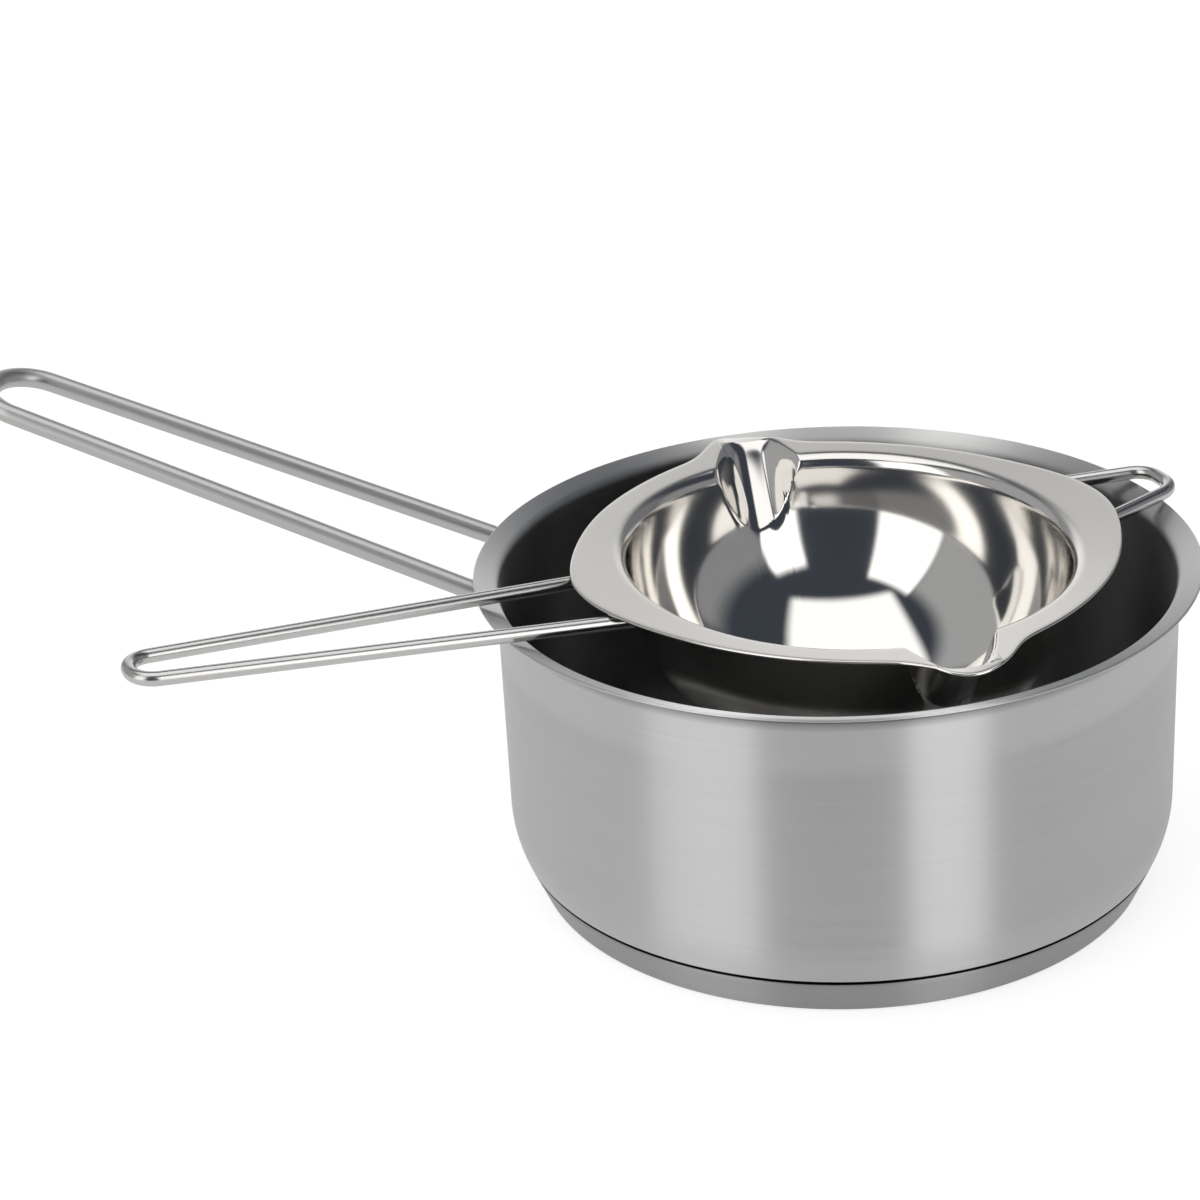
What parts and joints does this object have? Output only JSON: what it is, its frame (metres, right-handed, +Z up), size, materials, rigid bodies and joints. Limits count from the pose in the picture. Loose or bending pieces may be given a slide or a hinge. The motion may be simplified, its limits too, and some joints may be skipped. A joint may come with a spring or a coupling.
{
  "type": "melting pot",
  "caption": "Steel saucepan with a wire loop handle and a capsule base, and a spouted melting bowl that rests on its lip by a wire handle and a wire hook.",
  "frame": {"origin": "middle of the saucepan's foot, on the plane it stands on", "axes": "+Z up along the saucepan's axis, the saucepan's handle points along -X"},
  "size_m": [0.3014, 0.1872, 0.1163],
  "materials": {
    "satin_steel": "satin, brushed around the wall",
    "core_aluminium": "plain, hidden",
    "satin_wire": "satin drawn wire",
    "polished_steel": "mirror polished inside, satin on the flange",
    "polished_wire": "bright drawn wire"
  },
  "bodies": {
    "saucepan": {"pan_body": "satin_steel", "base_core_disc": "core_aluminium", "base_cap": "satin_steel", "pan_handle_plate": "satin_steel", "pan_handle": "satin_wire"},
    "melting_bowl": {"bowl_shell": "polished_steel", "bowl_handle": "polished_wire", "bowl_hook": "polished_wire"}
  },
  "joints": [
    {"name": "bowl_lift", "type": "slide", "parent": "saucepan", "child": "melting_bowl", "axis": [0, 0, 1], "range_m": [0, 0.1]}
  ]
}
